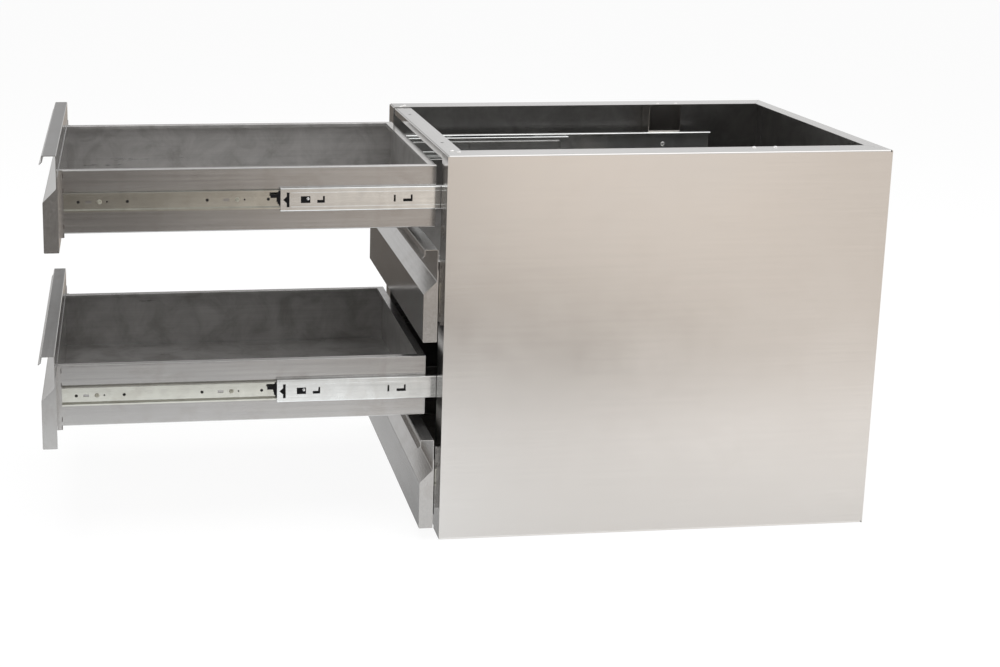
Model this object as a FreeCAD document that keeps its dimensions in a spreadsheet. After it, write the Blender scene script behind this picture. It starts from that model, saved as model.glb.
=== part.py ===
import FreeCAD, Part
import Sketcher
import math
import os

# Outdoor kitchen drawer unit: a folded sheet carcass with an open top and four drawers
# X runs across the unit, Y runs from the fronts to the back and Z is up
# The origin is the centre of the carcass base, and every length is in millimetres

# Driving sizes
SIZES = (
    ("cabinet_width", 540.0, "outside width of the carcass"),
    ("cabinet_depth", 690.0, "outside depth of the carcass"),
    ("cabinet_height", 606.0, "outside height of the carcass"),
    ("cabinet_sheet", 1.2, "sheet of the carcass"),
    ("bend_radius", 2.0, "outside radius of a fold in the carcass"),
    ("top_flange", 46.0, "width of the side panel's top flange"),
    ("rear_flange", 25.0, "width of the back panel's top flange"),
    ("base_flange", 25.0, "width of the folds that carry the bottom panel"),
    ("seam_flange", 24.0, "width of the side panel's rear flange"),
    ("post_fold", 45.0, "depth of the front post folded from the side panel"),
    ("relief", 0.5, "gap between two folds that meet at a corner"),
    ("mitre_gap", 0.4, "gap of the mitre between the top flanges"),
    ("mitre_overrun", 1.0, "mitre's cut beyond the sheet's edge"),
    ("rail_depth", 30.0, "depth of the top front rail"),
    ("rail_fold", 12.0, "height of the rail's front fold"),
    ("rail_hole_spacing", 290.0, "distance between the rail's two fixing holes"),
    ("rail_hole_radius", 2.5, "radius of the rail's fixing holes"),
    ("post_width", 60.0, "width of the rear slide post"),
    ("post_setback", 467.0, "rear slide post behind the front plane"),
    ("post_tab", 36.0, "length of the post's top tab"),
    ("drawer_pitch", 150.0, "height from one drawer to the next"),
    ("lowest_front", 20.0, "bottom of the lowest front above the base"),
    ("front_gap", 11.0, "closed front's back plane ahead of the carcass"),
    ("front_inset", 1.0, "front's end inside the side panel's face"),
    ("front_height", 144.0, "height of a drawer front"),
    ("front_depth", 21.0, "depth of a drawer front"),
    ("front_face", 75.0, "height of the front's upright lower face"),
    ("drawer_sheet", 1.0, "sheet of fronts and drawer boxes"),
    ("drawer_bend", 1.7, "outside radius of a fold in a drawer"),
    ("lip_drop", 9.0, "upright part of the handle lip"),
    ("lip_flare", 4.0, "flared part of the handle lip"),
    ("lip_corner", 3.0, "rounding of the lip's end corners"),
    ("box_width", 425.0, "outside width of a drawer box"),
    ("box_length", 565.0, "length of a drawer box"),
    ("box_height", 96.0, "height of a drawer box"),
    ("box_lift", 16.0, "box bottom above the front's bottom"),
    ("rim_width", 12.0, "width of the box's folded rim"),
    ("rim_return", 6.0, "height of the rim's turned-down edge"),
    ("weld_flange", 5.0, "depth of the flange that holds the box to its front"),
    ("weld_drop", 6.0, "flange below the box bottom"),
    ("slide_length", 560.0, "length of a slide's outer and middle member"),
    ("inner_length", 556.0, "length of a slide's inner member"),
    ("slide_setback", 20.0, "outer member's front end behind the front plane"),
    ("slide_thickness", 12.7, "closed slide from post to box"),
    ("slide_sheet", 1.2, "steel of the slide members"),
    ("slide_lift", 48.0, "slide's centre line above the box bottom"),
    ("outer_height", 45.5, "height of the outer member"),
    ("middle_height", 35.5, "height of the middle member"),
    ("inner_height", 26.0, "height of the inner member"),
    ("outer_depth", 10.2, "depth of the outer member"),
    ("middle_gap", 2.0, "gap between the outer and the middle web"),
    ("middle_clear", 1.3, "middle member's free edge short of the box"),
    ("inner_depth", 7.1, "depth of the inner member"),
    ("race_lip", 2.6, "lip that keeps the balls of the outer member"),
    ("middle_lip", 2.4, "lip that keeps the balls of the middle member"),
    ("inner_lip", 1.2, "hook along the inner member's free edges"),
    ("inner_fold_radius", 1.6, "rounding of the inner member's folds"),
    ("bumper_plate", 0.8, "thickness of the stop behind the middle web"),
    ("bumper_gap", 0.1, "gap between the stop and the middle member"),
    ("bumper_reach", 15.0, "stop's nose ahead of the middle member"),
    ("bumper_shoulder", 4.6, "stop's shoulder ahead of the middle member"),
    ("bumper_flank", 2.0, "length of the slope from the nose to the shoulder"),
    ("bumper_tip", 2.6, "half height of the stop's nose"),
    ("bumper_rise", 6.0, "middle of the stop's nose above the slide's centre line"),
    ("shoulder_rise", 2.7, "middle of the stop's shoulder above the slide's centre line"),
    ("bumper_half", 11.0, "half height of the stop's shoulder"),
    ("bumper_waist", 6.0, "half height of the stop behind the web"),
    ("bumper_overlap", 1.0, "stop's crossbar beyond the edges of the front window"),
    ("boss_inset", 0.3, "stop's boss inside the front window"),
    ("race_radius", 2.3, "rounding of the outer member's ball races"),
    ("middle_race_radius", 1.8, "rounding of the middle member's ball races"),
    ("cage_length", 150.0, "length of a ball cage"),
    ("outer_cage", 3.2, "height of the outer row's ball cage"),
    ("inner_cage", 3.0, "height of the inner row's ball cage"),
    ("cage_width", 2.8, "width of a ball cage across the slide"),
    ("outer_cage_place", 6.3, "middle of the outer row's cage from the post"),
    ("inner_cage_place", 8.5, "middle of the inner row's cage from the post"),
    ("cage_inset", 60.0, "ball cage's end from the end of the member that it runs in"),
    ("window_start", 9.2, "front window of the middle member behind its front end"),
    ("window_length", 4.2, "length of the front window"),
    ("window_half", 11.2, "half height of the front window"),
    ("window_point", 3.8, "front window's point behind the member's front end"),
    ("point_half", 5.0, "half height of the front window's pointed part"),
    ("slot_half", 5.2, "half height of the middle member's other slots"),
    ("tab_slot_width", 2.9, "width of the upright part of a slot beside a tab"),
    ("tab_edge", 0.8, "lower edge of a tab below the slide's centre line"),
    ("inner_slot_length", 9.0, "length of a slot in the inner member"),
    ("inner_slot_half", 2.0, "half height of a slot in the inner member"),
    ("middle_share", 0.47, "part of the drawer's travel that the middle member makes"),
    ("drawer_1_opening", 561.0, "how far drawer 1 stands open at rest"),
    ("drawer_2_opening", 0.0, "how far drawer 2 stands open at rest"),
    ("drawer_3_opening", 571.0, "how far drawer 3 stands open at rest"),
    ("drawer_4_opening", 0.0, "how far drawer 4 stands open at rest"),
)

doc = FreeCAD.newDocument("DrawerUnit")
sheet = doc.addObject("Spreadsheet::Sheet", "Sizes")
for row, (alias, number, meaning) in enumerate(SIZES, start=1):
    sheet.set(f"A{row}", alias)
    sheet.set(f"B{row}", str(number))
    sheet.set(f"C{row}", meaning)
    sheet.setAlias(f"B{row}", alias)
doc.recompute()


class Size:
    """A length with the sheet expression that it comes from."""

    def __init__(self, value, text):
        self.value = value
        self.text = text

    def __add__(self, other):
        other = as_size(other)
        return Size(self.value + other.value, f"({self.text} + {other.text})")

    def __sub__(self, other):
        other = as_size(other)
        return Size(self.value - other.value, f"({self.text} - {other.text})")

    def __mul__(self, other):
        other = as_size(other)
        return Size(self.value * other.value, f"({self.text} * {other.text})")

    def __truediv__(self, other):
        other = as_size(other)
        return Size(self.value / other.value, f"({self.text} / {other.text})")

    def __rsub__(self, other):
        return as_size(other) - self

    def __neg__(self):
        return self * -1

    __radd__ = __add__
    __rmul__ = __mul__


def as_size(number):
    """Wraps a plain number, and returns a Size as it is."""
    if isinstance(number, Size):
        return number
    return Size(float(number), f"({number})")


def read(alias):
    """Returns the sheet's cell of that name as a Size."""
    return Size(float(sheet.get(alias)), f"Sizes.{alias}")


# Planes of the carcass
half_width = read("cabinet_width") / 2
front_plane = -read("cabinet_depth") / 2
rear_plane = read("cabinet_depth") / 2
height = read("cabinet_height")
wall = read("cabinet_sheet")
fold = read("drawer_sheet")

# Start and end of the middle member's slots, from its front end: plain ones, and those
# that go round two edges of a tab
PLAIN_SLOTS = ((30.5, 44.8), (171.4, 174.4), (379.0, 382.5), (544.0, 548.0))
TAB_SLOTS = ((55.2, 66.7), (185.9, 200.2))
# Middles of the inner member's slots, from its front end
INNER_SLOTS = (36.5, 240.5, 444.5)

# A slide stands between the post's face and the box's side
box_side = read("box_width") / 2
slide_plane = box_side + read("slide_thickness")
slide_centre = read("box_lift") + read("slide_lift")
DRAWERS = range(1, 5)
SIDES = (("right", 1), ("left", -1))


def front_bottom(drawer):
    """Height of a drawer front's lower edge above the base."""
    return read("lowest_front") + read("drawer_pitch") * (len(DRAWERS) - drawer)


def opening(drawer):
    """How far a drawer stands open at rest."""
    return read(f"drawer_{drawer}_opening")


def inner_start():
    """Front end of the inner member behind the front's back plane."""
    return fold + read("weld_flange") + read("relief") * 2


# Sketches and features


def new_body(label):
    """Starts a sub-part, whose label names its file."""
    body = doc.addObject("PartDesign::Body", label)
    body.Label = label
    return body


def origin_plane(body, role):
    """Finds one of the body's own origin planes."""
    return [plane for plane in body.Origin.OriginFeatures if plane.Role == role][0]


def bind(target, path, size):
    """Sets a property now and ties it to the sheet."""
    target.setExpression(path, size.text)


def place_sketch(body, name, role, height_on_axis):
    """A sketch on an origin plane, moved along the plane's own axis."""
    sketch = body.newObject("Sketcher::SketchObject", name)
    sketch.AttachmentSupport = [(origin_plane(body, role), "")]
    sketch.MapMode = "FlatFace"
    offset = -height_on_axis if role == "XZ_Plane" else height_on_axis
    sketch.AttachmentOffset = FreeCAD.Placement(
        FreeCAD.Vector(0, 0, offset.value), FreeCAD.Rotation())
    bind(sketch, "AttachmentOffset.Base.z", offset)
    return sketch


def pin_point(sketch, geometry, vertex, point):
    """Holds a vertex at its two sizes from the sketch's origin."""
    for kind, size in zip(("DistanceX", "DistanceY"), point):
        number = sketch.addConstraint(
            Sketcher.Constraint(kind, -1, 1, geometry, vertex, size.value))
        bind(sketch, f"Constraints[{number}]", size)


def draw_polygon(sketch, points):
    """A closed outline through the given points."""
    count = len(points)
    corners = [FreeCAD.Vector(x.value, y.value, 0) for x, y in points]
    start = sketch.GeometryCount
    sketch.addGeometry([
        Part.LineSegment(corners[i], corners[(i + 1) % count]) for i in range(count)], False)
    sketch.addConstraint([
        Sketcher.Constraint("Coincident", start + i, 2, start + (i + 1) % count, 1)
        for i in range(count)])
    for i, point in enumerate(points):
        pin_point(sketch, start + i, 1, point)


def draw_circle(sketch, centre, radius):
    """A full circle about a point."""
    middle = FreeCAD.Vector(centre[0].value, centre[1].value, 0)
    number = sketch.addGeometry(
        Part.Circle(middle, FreeCAD.Vector(0, 0, 1), radius.value), False)
    pin_point(sketch, number, 3, centre)
    limit = sketch.addConstraint(Sketcher.Constraint("Radius", number, radius.value))
    bind(sketch, f"Constraints[{limit}]", radius)


def add_pad(body, name, role, start, length, points):
    """Extrudes an outline from start, along the plane's world axis."""
    points = [(as_size(x), as_size(y)) for x, y in points]
    at = start + length if role == "XZ_Plane" else start
    sketch = place_sketch(body, f"{name}_outline", role, as_size(at))
    draw_polygon(sketch, points)
    pad = body.newObject("PartDesign::Pad", name)
    pad.Profile = sketch
    pad.Length = length.value
    bind(pad, "Length", length)
    doc.recompute()
    return pad


def add_cut(body, name, role, middle, depth, polygons=(), circles=()):
    """Cuts outlines and round holes, half the depth to each side of the middle."""
    sketch = place_sketch(body, f"{name}_outline", role, as_size(middle))
    for points in polygons:
        draw_polygon(sketch, [(as_size(x), as_size(y)) for x, y in points])
    for x, y, radius in circles:
        draw_circle(sketch, (as_size(x), as_size(y)), radius)
    before = body.Tip.Shape.Volume
    cut = body.newObject("PartDesign::Pocket", name)
    cut.Profile = sketch
    cut.SideType = "Symmetric"
    cut.Length = depth.value
    bind(cut, "Length", depth)
    doc.recompute()
    if cut.Shape.Volume >= before:
        raise RuntimeError(f"{body.Label}: {name} cuts nothing")
    return cut


def round_folds(body, name, axis, corners, radius):
    """Rounds the edges along an axis that pass through the given corners."""
    base = body.Tip
    across = [i for i in range(3) if i != axis]
    wanted = [tuple(as_size(size).value for size in corner) for corner in corners]
    names = []
    for number, edge in enumerate(base.Shape.Edges, start=1):
        ends = [vertex.Point for vertex in edge.Vertexes]
        if len(ends) != 2:
            continue
        if any(abs(ends[0][i] - ends[1][i]) > 0.001 for i in across):
            continue
        place = tuple(ends[0][i] for i in across)
        if any(math.dist(place, corner) < 0.01 for corner in wanted):
            names.append(f"Edge{number}")
    if len(names) < len(wanted):
        raise RuntimeError(f"{body.Label}: {name} finds {len(names)} edges")
    fillet = body.newObject("PartDesign::Fillet", name)
    fillet.Base = (base, names)
    fillet.Radius = radius.value
    bind(fillet, "Radius", radius)
    doc.recompute()
    return fillet


def move_body(body, y=None, z=None):
    """Puts a body that is drawn in its drawer's own place at that drawer."""
    for path, size in (("Placement.Base.y", y), ("Placement.Base.z", z)):
        if size is not None:
            bind(body, path, size)
    doc.recompute()


def group(label, solids):
    """A node that holds several like pieces as separate solids."""
    feature = doc.addObject("Part::Feature", label)
    feature.Label = label
    feature.Shape = Part.makeCompound(solids)
    feature.Placement = FreeCAD.Placement()
    return feature


# Carcass


def make_side_panel(name, side):
    """One sheet: the wall, its top, base and rear flanges, and a folded front post."""
    body = new_body(f"side_panel_{name}")
    outer = half_width
    inner = half_width - wall
    bend = read("bend_radius")
    relief = read("relief")
    base = wall
    top_edge = half_width - read("top_flange")
    base_edge = half_width - read("base_flange")
    section = [
        (outer, base), (outer, height), (top_edge, height), (top_edge, height - wall),
        (inner, height - wall), (inner, base + wall), (base_edge, base + wall), (base_edge, base)]
    start = front_plane + bend
    add_pad(body, f"{body.Label}_wall", "XZ_Plane", start, rear_plane - wall - bend - start,
            [(x * side, z) for x, z in section])
    round_folds(body, f"{body.Label}_outer_folds", 1,
                [(outer * side, base), (outer * side, height)], bend)
    round_folds(body, f"{body.Label}_inner_folds", 1,
                [(inner * side, base + wall), (inner * side, height - wall)], bend - wall)
    front_leg = [
        (outer, start + wall), (outer, front_plane), (slide_plane, front_plane),
        (slide_plane, front_plane + wall), (inner, front_plane + wall), (inner, start + wall)]
    add_pad(body, f"{body.Label}_front_flange", "XY_Plane", base,
            height - wall - relief - base, [(x * side, y) for x, y in front_leg])
    post = slide_plane + wall
    post_end = front_plane + read("post_fold")
    front_post = [
        (slide_plane, front_plane), (slide_plane, post_end), (post, post_end), (post, front_plane)]
    post_bottom = base + wall + relief
    add_pad(body, f"{body.Label}_front_post", "XY_Plane", post_bottom,
            height - read("rail_fold") - 2 * wall - relief - post_bottom,
            [(x * side, y) for x, y in front_post])
    rear = rear_plane - wall
    seam = half_width - read("seam_flange")
    rear_leg = [
        (outer, rear - bend - wall), (outer, rear), (seam, rear), (seam, rear - wall),
        (inner, rear - wall), (inner, rear - bend - wall)]
    rear_bottom = base + wall + relief
    add_pad(body, f"{body.Label}_rear_flange", "XY_Plane", rear_bottom,
            height - wall - bend - rear_bottom, [(x * side, y) for x, y in rear_leg])
    # The mitre runs from the inner corner of the two top flanges to the outer one
    beyond = read("mitre_overrun")
    rise = read("rear_flange") / read("top_flange")
    corner = rear_plane - read("rear_flange") - read("mitre_gap")
    end = half_width - bend - wall
    mitre = [
        (top_edge - beyond, corner - rise * beyond), (end, corner + rise * (end - top_edge)),
        (end, rear_plane + beyond), (top_edge - beyond, rear_plane + beyond)]
    add_cut(body, f"{body.Label}_mitre", "XY_Plane", height - wall / 2, wall + relief,
            [[(x * side, y) for x, y in mitre]])
    return body


def make_back_panel():
    """The rear wall with its mitred top flange."""
    body = new_body("back_panel")
    bend = read("bend_radius")
    flange = rear_plane - read("rear_flange")
    section = [
        (rear_plane, 0), (rear_plane, height), (flange, height), (flange, height - wall),
        (rear_plane - wall, height - wall), (rear_plane - wall, 0)]
    add_pad(body, "back_panel_wall", "YZ_Plane", -half_width, 2 * half_width, section)
    round_folds(body, "back_panel_outer_fold", 0, [(rear_plane, height)], bend)
    round_folds(body, "back_panel_inner_fold", 0,
                [(rear_plane - wall, height - wall)], bend - wall)
    beyond = read("mitre_overrun")
    slope = read("top_flange") / read("rear_flange")
    side_edge = half_width - wall - bend
    corner = half_width - read("top_flange")
    mitre = [
        (half_width + beyond, rear_plane - bend), (side_edge, rear_plane - bend),
        (corner - slope * beyond, flange - beyond), (half_width + beyond, flange - beyond)]
    add_cut(body, "back_panel_mitre", "XY_Plane", height, wall * 4,
            [[(x * side, y) for x, y in mitre] for name, side in SIDES])
    return body


def make_bottom_panel():
    """A flat panel under the base flanges, with a turned-up front edge."""
    body = new_body("bottom_panel")
    relief = read("relief")
    side = half_width - read("bend_radius")
    front = front_plane + wall + relief
    rear = rear_plane - wall - relief
    turn = read("lowest_front") - relief
    section = [
        (rear, 0), (rear, wall), (front + wall, wall), (front + wall, turn), (front, turn),
        (front, 0)]
    add_pad(body, "bottom_panel_floor", "YZ_Plane", -side, 2 * side, section)
    round_folds(body, "bottom_panel_outer_fold", 0, [(front, 0)], read("bend_radius"))
    edge = slide_plane - relief
    end = [(edge, wall), (half_width, wall), (half_width, turn + wall), (edge, turn + wall)]
    add_cut(body, "bottom_panel_ends", "XZ_Plane", front + wall, wall * 2 + relief * 2,
            [[(x * sign, z) for x, z in end] for name, sign in SIDES])
    return body


def make_top_rail():
    """The angle that ties the side panels together above the top drawer."""
    body = new_body("top_front_rail")
    top = height - wall
    front = front_plane + wall + read("relief") / 2
    rear = front_plane + read("rail_depth")
    end = half_width - wall - read("relief") * 4
    section = [
        (front, top - read("rail_fold")), (front, top), (rear, top), (rear, top - wall),
        (front + wall, top - wall), (front + wall, top - read("rail_fold"))]
    add_pad(body, "top_front_rail_angle", "YZ_Plane", -end, 2 * end, section)
    bend = read("bend_radius")
    round_folds(body, "top_front_rail_outer_fold", 0, [(front, top)], bend)
    round_folds(body, "top_front_rail_inner_fold", 0, [(front + wall, top - wall)], bend - wall)
    across = read("rail_hole_spacing") / 2
    along = front_plane + read("rail_depth") / 2
    add_cut(body, "top_front_rail_holes", "XY_Plane", top - wall / 2, wall * 2,
            circles=[(across * side, along, read("rail_hole_radius")) for name, side in SIDES])
    return body


def make_rear_post(name, side):
    """A channel that carries the slides at the rear, with a tab under the top flange."""
    body = new_body(f"rear_post_{name}")
    bend = read("bend_radius")
    front = front_plane + read("post_setback")
    rear = front + read("post_width")
    reach = half_width - bend
    face = slide_plane
    section = [
        (face, front), (reach, front), (reach, front + wall), (face + wall, front + wall),
        (face + wall, rear - wall), (reach, rear - wall), (reach, rear), (face, rear)]
    bottom = 2 * wall
    top = height - wall
    add_pad(body, f"{body.Label}_channel", "XY_Plane", bottom, top - bottom,
            [(x * side, y) for x, y in section])
    round_folds(body, f"{body.Label}_folds", 2,
                [(face * side, front), (face * side, rear)], bend)
    tab_start = face + wall / 2
    tab_end = face + read("post_tab")
    tab = [
        (tab_start, front + bend), (tab_end, front + bend), (tab_end, rear - bend),
        (tab_start, rear - bend)]
    add_pad(body, f"{body.Label}_tab", "XY_Plane", top - wall, wall,
            [(x * side, y) for x, y in tab])
    return body


# Telescopic slides


def channel_section(side, web, edge, half, lip, lip_turn):
    """A channel with lips that turn inwards (-1) or outwards (1), about its centre line."""
    steel = read("slide_sheet")
    step = 1 if edge.value > web.value else -1
    inner_web = web + steel * step
    inner_edge = edge - steel * step
    hook = half + lip * lip_turn
    if lip_turn < 0:
        arm = [(edge, half), (edge, hook), (inner_edge, hook), (inner_edge, half - steel)]
    else:
        arm = [(inner_edge, half), (inner_edge, hook), (edge, hook), (edge, half - steel)]
    upper = [(web, half)] + arm + [(inner_web, half - steel)]
    lower = [(u, -v) for u, v in reversed(upper)]
    return [((slide_plane - u) * side, slide_centre + v) for u, v in upper + lower]


def round_races(body, side, web, edge, half, radius):
    """Rounds the outer corners of a member's channel."""
    corners = [((slide_plane - u) * side, slide_centre + half * v)
               for u in (web, edge) for v in (1, -1)]
    round_folds(body, f"{body.Label}_races", 1, corners, radius)


def make_outer_member(drawer, name, side):
    """The channel that is fixed to the posts."""
    body = new_body(f"drawer_{drawer}_outer_slide_{name}")
    web = as_size(0)
    edge = read("outer_depth")
    half = read("outer_height") / 2
    add_pad(body, f"{body.Label}_channel", "XZ_Plane", front_plane + read("slide_setback"),
            read("slide_length"), channel_section(side, web, edge, half, read("race_lip"), -1))
    round_races(body, side, web, edge, half, read("race_radius"))
    move_body(body, z=front_bottom(drawer))
    return body


def make_middle_member(drawer, name, side):
    """The channel that runs between the outer and the inner member."""
    body = new_body(f"drawer_{drawer}_middle_slide_{name}")
    steel = read("slide_sheet")
    web = steel + read("middle_gap")
    edge = read("slide_thickness") - read("middle_clear")
    half = read("middle_height") / 2
    start = front_plane + read("slide_setback")
    add_pad(body, f"{body.Label}_channel", "XZ_Plane", start, read("slide_length"),
            channel_section(side, web, edge, half, read("middle_lip"), -1))
    round_races(body, side, web, edge, half, read("middle_race_radius"))
    low = -read("slot_half")
    outlines = [front_window()]
    outlines += [rectangle(first, last, -low) for first, last in PLAIN_SLOTS]
    for first, last in TAB_SLOTS:
        upright = last - read("tab_slot_width")
        step = -read("tab_edge")
        outlines.append([(first, low), (last, low), (last, -low), (upright, -low),
                         (upright, step), (first, step)])
    windows = [[(start + y, slide_centre + v) for y, v in outline] for outline in outlines]
    add_cut(body, f"{body.Label}_windows", "YZ_Plane", (slide_plane - web - steel / 2) * side,
            steel * 2, windows)
    move_body(body, y=-(opening(drawer) * read("middle_share")), z=front_bottom(drawer))
    return body


def front_window():
    """Outline of the middle member's front window, an upright slot with a point ahead."""
    first = read("window_start")
    last = first + read("window_length")
    half = read("window_half")
    waist = read("point_half")
    return [(read("window_point"), as_size(0)), (first, -waist), (first, -half), (last, -half),
            (last, half), (first, half), (first, waist)]


def make_inner_member(drawer, name, side):
    """The channel that is fixed to the drawer box."""
    body = new_body(f"drawer_{drawer}_inner_slide_{name}")
    steel = read("slide_sheet")
    web = read("slide_thickness")
    edge = web - read("inner_depth")
    half = read("inner_height") / 2
    start = inner_start()
    add_pad(body, f"{body.Label}_channel", "XZ_Plane", start, read("inner_length"),
            channel_section(side, web, edge, half, read("inner_lip"), 1))
    corners = [((slide_plane - web) * side, slide_centre + half * v) for v in (1, -1)]
    round_folds(body, f"{body.Label}_folds", 1, corners, read("inner_fold_radius"))
    reach = read("inner_slot_length") / 2
    outlines = [rectangle(middle - reach, middle + reach, read("inner_slot_half"))
                for middle in INNER_SLOTS]
    slots = [[(start + y, slide_centre + v) for y, v in outline] for outline in outlines]
    add_cut(body, f"{body.Label}_slots", "YZ_Plane", (slide_plane - web + steel / 2) * side,
            steel * 2, slots)
    seat_in_drawer(body, drawer)
    return body


def rectangle(first, last, half):
    """Corners of a rectangle about a member's centre line."""
    return [(first, -half), (last, -half), (last, half), (first, half)]


def seat_in_drawer(body, drawer):
    """Moves a piece from its drawer's own place to where that drawer stands at rest."""
    back = front_plane - read("front_gap") - opening(drawer)
    move_body(body, y=back, z=front_bottom(drawer))


def plate_between(side, near, far, outline):
    """A flat solid between two depths of a slide, from its outline in y and z."""
    x = (slide_plane.value - near) * side
    corners = [FreeCAD.Vector(x, y, z) for y, z in outline]
    wire = Part.makePolygon(corners + [corners[0]])
    return Part.Face(wire).extrude(FreeCAD.Vector((near - far) * side, 0, 0))


def runner_front(drawer):
    """Front end of the middle members of a drawer at rest."""
    share = read("middle_share")
    return (front_plane + read("slide_setback") - opening(drawer) * share).value


def make_bumpers(drawer):
    """Moulded stops at the front of the two middle members, with a spiked nose."""
    web = (read("slide_sheet") + read("middle_gap")).value
    gap = read("bumper_gap").value
    behind = web + read("slide_sheet").value + gap
    back = behind + read("bumper_plate").value
    reach = -read("bumper_reach").value
    shoulder = -read("bumper_shoulder").value
    flank = shoulder + read("bumper_flank").value
    tip = read("bumper_tip").value
    rise = read("bumper_rise").value
    middle = read("shoulder_rise").value
    wide = read("bumper_half").value
    waist = read("bumper_waist").value
    nose = [(reach, rise - tip), (shoulder, rise - tip), (flank, middle - wide),
            (-gap, middle - wide), (-gap, middle + wide), (flank, middle + wide),
            (shoulder, rise + tip), (reach, rise + tip)]
    first = read("window_start").value
    last = first + read("window_length").value
    half = read("window_half").value
    inset = read("boss_inset").value
    overlap = read("bumper_overlap").value
    bar = half + overlap
    neck = [(shoulder, -waist), (first - overlap, -waist), (first - overlap, -bar),
            (last + overlap, -bar), (last + overlap, bar), (first - overlap, bar),
            (first - overlap, waist), (shoulder, waist)]
    low = inset - half
    boss = [(first + inset, low), (last - inset, low), (last - inset, -low), (first + inset, -low)]
    front = runner_front(drawer)
    centre = (front_bottom(drawer) + slide_centre).value
    solids = []
    for name, side in SIDES:
        layers = [plate_between(side, near, back, [(front + y, centre + v) for y, v in outline])
                  for near, outline in ((web, nose), (behind, neck), (web, boss))]
        solids.append(layers[0].multiFuse(layers[1:]).removeSplitter())
    return group(f"drawer_{drawer}_slide_bumpers", solids)


def make_ball_cages(drawer):
    """Moulded ball cages, above and below each inner and middle member."""
    length = read("cage_length").value
    width = read("cage_width").value
    steel = read("slide_sheet").value
    front = runner_front(drawer)
    rear = front + read("slide_length").value
    centre = (front_bottom(drawer) + slide_centre).value
    middle_half = read("middle_height").value / 2
    outer_row = (read("outer_height").value / 2 - steel + middle_half) / 2
    inner_row = (middle_half - steel + read("inner_height").value / 2) / 2
    outer_place = read("outer_cage_place").value
    inner_place = read("inner_cage_place").value
    inset = read("cage_inset").value
    # The outer row runs in the rear half and the inner row in the front half
    rows = (
        (outer_row, read("outer_cage").value, outer_place, rear - inset - length),
        (inner_row, read("inner_cage").value, inner_place, front + inset))
    solids = []
    for name, side in SIDES:
        for offset, tall, place, first in rows:
            for sign in (1, -1):
                middle = (slide_plane.value - place) * side
                low = centre + offset * sign - tall / 2
                solids.append(Part.makeBox(
                    width, length, tall, FreeCAD.Vector(middle - width / 2, first, low)))
    return group(f"drawer_{drawer}_ball_cages", solids)


# Drawers


def make_front(drawer):
    """The folded skin with its slope, finger recess, handle and lip, and two end caps."""
    body = new_body(f"drawer_{drawer}_front")
    deep = read("front_depth")
    face = read("front_face")
    top = read("front_height")
    drop = read("lip_drop")
    flare = read("lip_flare")
    slant = fold * math.sqrt(2)
    tuck = fold * (math.sqrt(2) - 1)
    lean = fold / math.sqrt(2)
    cavity = [(fold - deep, fold), (fold - deep, face - tuck), (0, face + deep - slant)]
    skin = [
        (0, 0), (-deep, 0), (-deep, face), (-fold, face + deep - fold), (-fold, top - fold),
        (fold - deep, top - fold), (fold - deep, top - drop - tuck),
        (-deep - flare + lean, top - drop - flare - lean), (-deep - flare, top - drop - flare),
        (-deep, top - drop), (-deep, top), (0, top)] + cavity[::-1] + [(0, fold)]
    end = half_width - read("front_inset")
    add_pad(body, f"{body.Label}_skin", "YZ_Plane", -end, 2 * end, skin)
    bend = read("drawer_bend")
    round_folds(body, f"{body.Label}_outer_folds", 0,
                [(-deep, 0), (-deep, face), (-deep, top), (0, top), (-fold, face + deep - fold)], bend)
    round_folds(body, f"{body.Label}_inner_folds", 0,
                [(fold - deep, top - fold), (-fold, top - fold), cavity[0]], bend - fold)
    cap = cavity + [(0, fold)]
    for name, side in SIDES:
        start = end - fold if side > 0 else -end
        add_pad(body, f"{body.Label}_cap_{name}", "YZ_Plane", start, fold, cap)
    round_lip(body, top - drop - flare, end)
    seat_in_drawer(body, drawer)
    return body


def round_lip(body, lip_edge, end):
    """Rounds the two free corners of the handle lip."""
    base = body.Tip
    low = lip_edge.value
    lean = (fold / math.sqrt(2)).value
    names = []
    for number, edge in enumerate(base.Shape.Edges, start=1):
        ends = [vertex.Point for vertex in edge.Vertexes]
        if len(ends) != 2 or abs(edge.Length - fold.value) > 0.01:
            continue
        if all(abs(abs(point.x) - end.value) < 0.01 and low - lean - 0.01 < point.z < low + 0.01
               for point in ends):
            names.append(f"Edge{number}")
    if len(names) != 2:
        raise RuntimeError(f"{body.Label}: the lip has {len(names)} corners")
    fillet = body.newObject("PartDesign::Fillet", f"{body.Label}_lip_corners")
    fillet.Base = (base, names)
    fillet.Radius = read("lip_corner").value
    bind(fillet, "Radius", read("lip_corner"))
    doc.recompute()


def make_liner(drawer):
    """The plate that closes the front's hollow, with flanges welded to the box sides."""
    body = new_body(f"drawer_{drawer}_front_liner")
    end = half_width - read("front_inset") - read("relief")
    rim = read("box_lift") + read("box_height")
    plate = [(-end, as_size(0)), (end, as_size(0)), (end, rim), (-end, rim)]
    add_pad(body, f"{body.Label}_plate", "XZ_Plane", as_size(0), fold, plate)
    low = read("box_lift") - read("weld_drop")
    for name, side in SIDES:
        flange = [
            (box_side * side, low), ((box_side + fold) * side, low),
            ((box_side + fold) * side, rim), (box_side * side, rim)]
        add_pad(body, f"{body.Label}_flange_{name}", "XZ_Plane", fold / 2,
                read("weld_flange") + fold / 2, flange)
    seat_in_drawer(body, drawer)
    return body


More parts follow.
